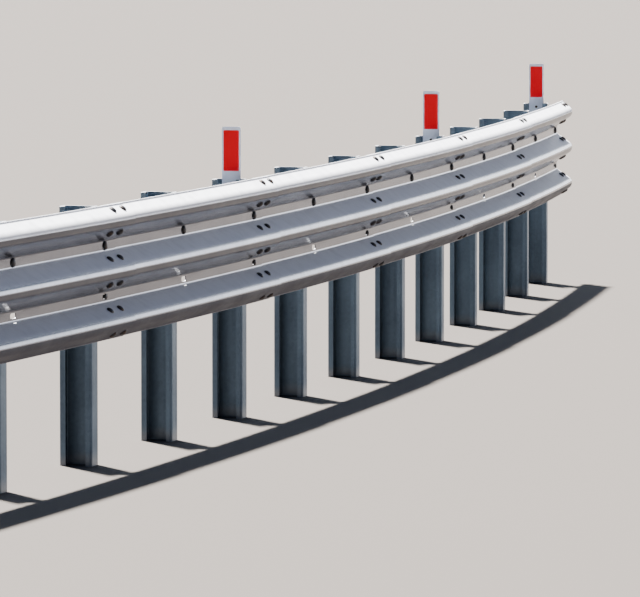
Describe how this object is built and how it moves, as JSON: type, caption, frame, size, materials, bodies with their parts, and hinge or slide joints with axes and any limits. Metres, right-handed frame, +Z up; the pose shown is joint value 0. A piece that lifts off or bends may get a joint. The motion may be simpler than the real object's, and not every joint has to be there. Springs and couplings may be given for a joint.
{
  "type": "highway guardrail run",
  "caption": "Curved run of three-wave steel guardrail on lipped-channel posts with spacers, lapped panels and red reflectors facing the near end",
  "frame": {"origin": "middle of the web's foot on the middle post, at ground level", "axes": "+X along the rail's tangent at the middle post towards the far end, -Y towards the road, +Z up; the run bends towards +Y at both ends"},
  "size_m": [12.2565, 0.5375, 1.199],
  "materials": {
    "beam_zinc": "weathered hot-dip zinc, fairly glossy",
    "post_zinc": "weathered hot-dip zinc, duller than the beam",
    "spacer_zinc": "weathered hot-dip zinc",
    "plate_zinc": "pale grey coated sheet, satin",
    "reflector_red": "retro-reflective red sheet with a fine cell pattern"
  },
  "bodies": {
    "root": {"post_01": "post_zinc", "post_02": "post_zinc", "post_03": "post_zinc", "post_04": "post_zinc", "post_05": "post_zinc", "post_06": "post_zinc", "post_07": "post_zinc", "post_08": "post_zinc", "post_09": "post_zinc", "post_10": "post_zinc", "post_11": "post_zinc", "post_12": "post_zinc", "post_13": "post_zinc", "spacer_01": "spacer_zinc", "spacer_02": "spacer_zinc", "spacer_03": "spacer_zinc", "spacer_04": "spacer_zinc", "spacer_05": "spacer_zinc", "spacer_06": "spacer_zinc", "spacer_07": "spacer_zinc", "spacer_08": "spacer_zinc", "spacer_09": "spacer_zinc", "spacer_10": "spacer_zinc", "spacer_11": "spacer_zinc", "spacer_12": "spacer_zinc", "spacer_13": "spacer_zinc", "beam_panel_1": "beam_zinc", "beam_panel_2": "beam_zinc", "beam_panel_3": "beam_zinc", "beam_panel_4": "beam_zinc", "beam_panel_5": "beam_zinc", "beam_panel_6": "beam_zinc", "reflector_plate_01": "plate_zinc", "reflector_plate_05": "plate_zinc", "reflector_plate_09": "plate_zinc", "reflector_plate_13": "plate_zinc", "reflector_red_01": "reflector_red", "reflector_red_05": "reflector_red", "reflector_red_09": "reflector_red", "reflector_red_13": "reflector_red"}
  },
  "joints": []
}
